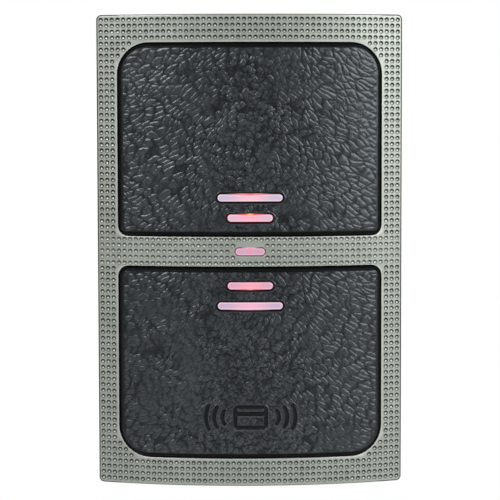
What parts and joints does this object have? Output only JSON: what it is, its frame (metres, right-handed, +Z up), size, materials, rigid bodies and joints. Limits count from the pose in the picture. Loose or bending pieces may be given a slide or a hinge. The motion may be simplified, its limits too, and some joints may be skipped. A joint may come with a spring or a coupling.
{
  "type": "rfid card reader",
  "caption": "Wall-mounted proximity card reader with a curved dimpled bezel, leather-grained panels, light bars and a hook-on steel wall plate.",
  "frame": {"origin": "centre of the wall plate's back face, midway between the two upright box slots", "axes": "+X to the reader's right as seen from the front, +Z up, +Y into the wall; the front faces -Y"},
  "size_m": [0.078, 0.0759, 0.12],
  "materials": {
    "silver_paint": "satin silver-grey metallic paint over moulded plastic, dimpled front",
    "black_grained_plastic": "black moulded plastic with an embossed leather grain and smooth rounded edges",
    "light_bar_lens": "milky diffusing lens, lit pink-red from behind",
    "black_baffle": "matt black moulding",
    "black_housing": "fine spark-eroded black moulding",
    "potting_resin": "cast black epoxy resin",
    "zinc_screw": "zinc-plated steel",
    "brass_insert": "turned brass",
    "circuit_board": "green solder mask over glass laminate",
    "copper_winding": "enamelled copper wire winding",
    "amber_tape": "polyimide film tape",
    "led_package": "white lamp package with a clear window",
    "chip_resin": "moulded black chip resin with tinned legs",
    "tinned_metal": "bright tin",
    "capacitor_can": "drawn aluminium can on a black base",
    "film_capacitor_red": "dipped red resin",
    "ferrite": "grey ferrite",
    "buzzer_black": "black moulding",
    "cable_jacket_grey": "soft dark grey cable jacket",
    "black_rubber": "soft black rubber",
    "wire_red": "thin red wire insulation",
    "wire_black": "thin black wire insulation",
    "wire_green": "thin green wire insulation",
    "wire_white": "thin white wire insulation",
    "wire_blue": "thin blue wire insulation",
    "wire_brown": "thin brown wire insulation",
    "wire_yellow": "thin yellow wire insulation",
    "wire_grey": "thin grey wire insulation",
    "blank_label": "blank silver-grey polyester label",
    "switch_black": "black switch moulding with a light button",
    "spring_steel": "bright drawn wire",
    "white_nylon": "natural white nylon",
    "lock_steel": "stainless steel",
    "galvanised_plate": "galvanised sheet steel with a soft spangle"
  },
  "bodies": {
    "wall_plate": {"wall_plate": "galvanised_plate"},
    "reader": {"front_bezel": "silver_paint", "upper_panel": "black_grained_plastic", "lower_panel": "black_grained_plastic", "upper_long_light_bar": "light_bar_lens", "upper_short_light_bar": "light_bar_lens", "centre_light_bar": "light_bar_lens", "lower_short_light_bar": "light_bar_lens", "lower_long_light_bar": "light_bar_lens", "light_baffle": "black_baffle", "base_housing": "black_housing", "potting_block": "potting_resin", "case_screws": "zinc_screw", "threaded_insert": "brass_insert", "main_pcb": "circuit_board", "pcb_screws": "zinc_screw", "antenna_coil": "copper_winding", "coil_tapes": "amber_tape", "status_leds": "led_package", "controller_chip": "chip_resin", "rf_front_end_chip": "chip_resin", "crystal": "tinned_metal", "electrolytic_capacitors": "capacitor_can", "tuning_capacitors": "film_capacitor_red", "voltage_regulator": "chip_resin", "choke_inductor": "ferrite", "surge_diodes": "chip_resin", "chip_resistors": "chip_resin", "buzzer": "buzzer_black", "solder_joints": "tinned_metal", "cable_grommet": "black_rubber", "cable_jacket": "cable_jacket_grey", "jacket_end_sleeve": "black_rubber", "wire_red": "wire_red", "wire_black": "wire_black", "wire_green": "wire_green", "wire_white": "wire_white", "wire_blue": "wire_blue", "wire_brown": "wire_brown", "wire_yellow": "wire_yellow", "wire_grey": "wire_grey", "tinned_wire_ends": "tinned_metal", "rating_label": "blank_label", "tamper_switch": "switch_black", "tamper_spring": "spring_steel"},
    "captive_washer": {"captive_washer": "white_nylon"},
    "security_screw": {"security_screw": "lock_steel"},
    "tamper_plunger": {"tamper_plunger": "white_nylon"}
  },
  "joints": [
    {"name": "reader_swing", "type": "hinge", "parent": "wall_plate", "child": "reader", "pos_m": [0, -0.0032, 0.056], "axis": [-1, 0, 0], "range_deg": [0, 15]},
    {"name": "security_screw_travel", "type": "slide", "parent": "reader", "child": "captive_washer", "axis": [0, 0, -1], "range_m": [0, 0.0045]},
    {"name": "security_screw_turn", "type": "hinge", "parent": "captive_washer", "child": "security_screw", "pos_m": [0, -0.0062, -0.0555], "axis": [0, 0, -1], "range_deg": [0, 3240]},
    {"name": "tamper_plunger_travel", "type": "slide", "parent": "reader", "child": "tamper_plunger", "axis": [0, 1, 0], "range_m": [0, 0.0015], "deforming": ["tamper_spring"]}
  ],
  "couplings": [
    {"joint": "security_screw_turn", "follows": "security_screw_travel", "rad_per_m": 12566}
  ]
}
